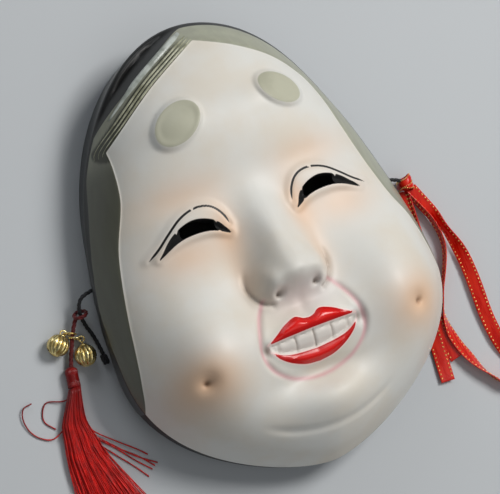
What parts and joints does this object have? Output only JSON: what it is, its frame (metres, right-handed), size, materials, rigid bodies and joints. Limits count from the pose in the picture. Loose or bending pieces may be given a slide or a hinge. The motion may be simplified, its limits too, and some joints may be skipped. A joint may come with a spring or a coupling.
{
  "type": "noh mask",
  "caption": "Smiling woman's stage mask, a hollow painted shell with eye slits and side cord holes, with a belled red tassel on one side and a ribbon on the other.",
  "frame": {"origin": "middle of the mask's footprint on the plane of its back rim", "axes": "+X to the viewer's right, +Y to the top of the head, +Z out of the face; the mask lies on its back rim"},
  "size_m": [0.2097, 0.2, 0.0676],
  "materials": {
    "painted_face": "white shell-paint face with black painted hair, red lips and soft blush",
    "black_cord": "twisted black cord",
    "red_cord": "dark red twisted cord",
    "brass": "polished, slightly worn",
    "steel": "plain steel ball",
    "red_thread": "silky red thread",
    "red_ribbon": "red satin with dotted gold edges"
  },
  "bodies": {
    "mask": {"mask_shell": "painted_face", "left_stopper_knot": "black_cord", "left_cord": "black_cord", "left_tail_knot": "black_cord", "right_stopper_knot": "black_cord", "right_cord": "black_cord", "ribbon_knot": "red_ribbon", "ribbon_loop": "red_ribbon", "ribbon_tail_long": "red_ribbon", "ribbon_tail_short": "red_ribbon"},
    "pendant": {"hanging_loop": "red_cord", "hanging_cord": "red_cord", "bell_a_ring": "brass", "bell_b_ring": "brass", "tassel_head": "red_thread", "tassel_binding": "red_thread", "tassel_skirt": "red_thread"},
    "bell_a": {"bell_a_loop": "brass", "bell_a_shell": "brass"},
    "bell_b": {"bell_b_loop": "brass", "bell_b_shell": "brass"},
    "rattle_a": {"bell_a_pellet": "steel"},
    "rattle_b": {"bell_b_pellet": "steel"}
  },
  "joints": [
    {"name": "pendant_swing", "type": "hinge", "parent": "mask", "child": "pendant", "pos_m": [-0.0792, -0.0016, 0.0062], "axis": [0, 0, 1], "range_deg": [-30, 3]},
    {"name": "bell_a_swing", "type": "hinge", "parent": "pendant", "child": "bell_a", "pos_m": [-0.0886, -0.00643, 0.0036], "axis": [0, 0, 1], "range_deg": [-60, 0]},
    {"name": "bell_b_swing", "type": "hinge", "parent": "pendant", "child": "bell_b", "pos_m": [-0.082, -0.01147, 0.0036], "axis": [0, 0, 1], "range_deg": [0, 10]},
    {"name": "bell_a_rattle", "type": "slide", "parent": "bell_a", "child": "rattle_a", "axis": [0, 0, 1], "range_m": [0, 0.005]},
    {"name": "bell_b_rattle", "type": "slide", "parent": "bell_b", "child": "rattle_b", "axis": [0, 0, 1], "range_m": [0, 0.005]}
  ]
}
